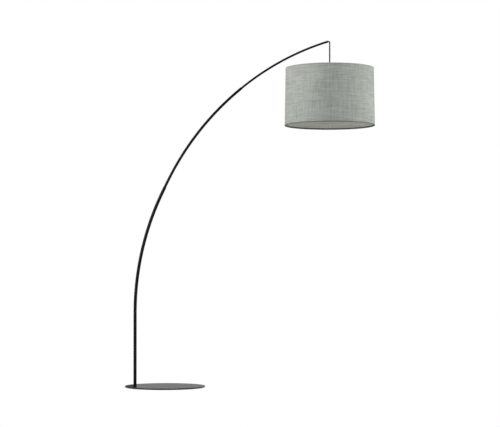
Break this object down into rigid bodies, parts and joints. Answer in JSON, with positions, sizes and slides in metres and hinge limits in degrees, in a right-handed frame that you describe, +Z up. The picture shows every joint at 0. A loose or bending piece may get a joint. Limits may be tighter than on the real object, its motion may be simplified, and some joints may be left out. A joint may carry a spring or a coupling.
{
  "type": "arc floor lamp",
  "caption": "Slim black arc floor lamp: round steel base, three-part curved tube and a linen drum shade hanging on its own cable from the tip.",
  "frame": {"origin": "on the floor, under the middle of the round base", "axes": "+Z up, the arm reaches out along +X, the side seen in the usual view faces -Y"},
  "size_m": [1.2484, 0.452, 1.7341],
  "materials": {
    "black_steel": "satin",
    "black_hardware": "satin",
    "zinc_steel": "satin",
    "base_pad": "matte",
    "black_plastic": "satin",
    "cable_jacket": "matte",
    "core_insulation": "satin",
    "white_insulator": "satin",
    "contact_brass": "satin",
    "contact_tin": "satin",
    "bulb_nickel": "polished",
    "bulb_insulator": "gloss",
    "bulb_white": "satin",
    "bulb_opal": "satin",
    "led_board": "satin",
    "white_wire": "satin",
    "shade_cloth": "matte",
    "shade_lining": "matte",
    "shade_binding": "matte"
  },
  "bodies": {
    "stand": {"base_plate": "black_steel", "base_pad": "base_pad", "foot_screw": "zinc_steel", "foot_plug": "zinc_steel", "lead_grommet": "black_plastic", "lower_tube": "black_steel", "middle_tube": "black_steel", "upper_tube": "black_steel", "joint_screws": "black_hardware", "tip_cap": "black_plastic", "arm_cable": "cable_jacket", "cable_at_tip": "cable_jacket"},
    "hanging_cable": {"pendant_cable": "cable_jacket"},
    "lampholder": {"cord_grip": "black_plastic", "grip_screw": "zinc_steel", "cable_end": "cable_jacket", "holder_cap": "black_plastic", "holder_body": "black_plastic", "holder_core": "white_insulator", "thread_shell": "contact_brass", "centre_contact": "contact_brass", "terminal_screws": "contact_brass", "holder_wires": "core_insulation"},
    "clamp_ring": {"shade_ring": "black_plastic"},
    "shade": {"shade_fitter": "white_wire", "shade_spokes": "white_wire", "shade_top_wire": "white_wire", "shade_bottom_wire": "white_wire", "shade_fabric": "shade_cloth", "shade_liner": "shade_lining", "shade_top_trim": "shade_binding", "shade_bottom_trim": "shade_binding"},
    "bulb_pip": {"bulb_contact": "contact_tin"},
    "bulb": {"bulb_insulator": "bulb_insulator", "bulb_cap": "bulb_nickel", "bulb_housing": "bulb_white", "bulb_diffuser": "bulb_opal", "bulb_led_board": "led_board"}
  },
  "joints": [
    {"name": "pendant_swing", "type": "hinge", "parent": "stand", "child": "hanging_cable", "pos_m": [0.82247, 0, 1.72242], "axis": [0, -1, 0], "range_deg": [-5, 30]},
    {"name": "shade_rock", "type": "hinge", "parent": "hanging_cable", "child": "lampholder", "pos_m": [0.82247, 0, 1.6035], "axis": [1, 0, 0], "range_deg": [-15, 15]},
    {"name": "ring_travel", "type": "slide", "parent": "lampholder", "child": "clamp_ring", "axis": [0, 0, -1], "range_m": [0, 0.008]},
    {"name": "shade_turn", "type": "hinge", "parent": "clamp_ring", "child": "shade", "pos_m": [0.82247, 0, 1.5], "axis": [0, 0, 1], "continuous": true},
    {"name": "bulb_travel", "type": "slide", "parent": "lampholder", "child": "bulb_pip", "axis": [0, 0, -1], "range_m": [0, 0.01455]},
    {"name": "bulb_turn", "type": "hinge", "parent": "bulb_pip", "child": "bulb", "pos_m": [0.82247, 0, 1.5], "axis": [0, 0, -1], "range_deg": [0, 1440]}
  ],
  "couplings": [
    {"joint": "bulb_travel", "follows": "bulb_turn", "m_per_rad": 0.00057757}
  ]
}
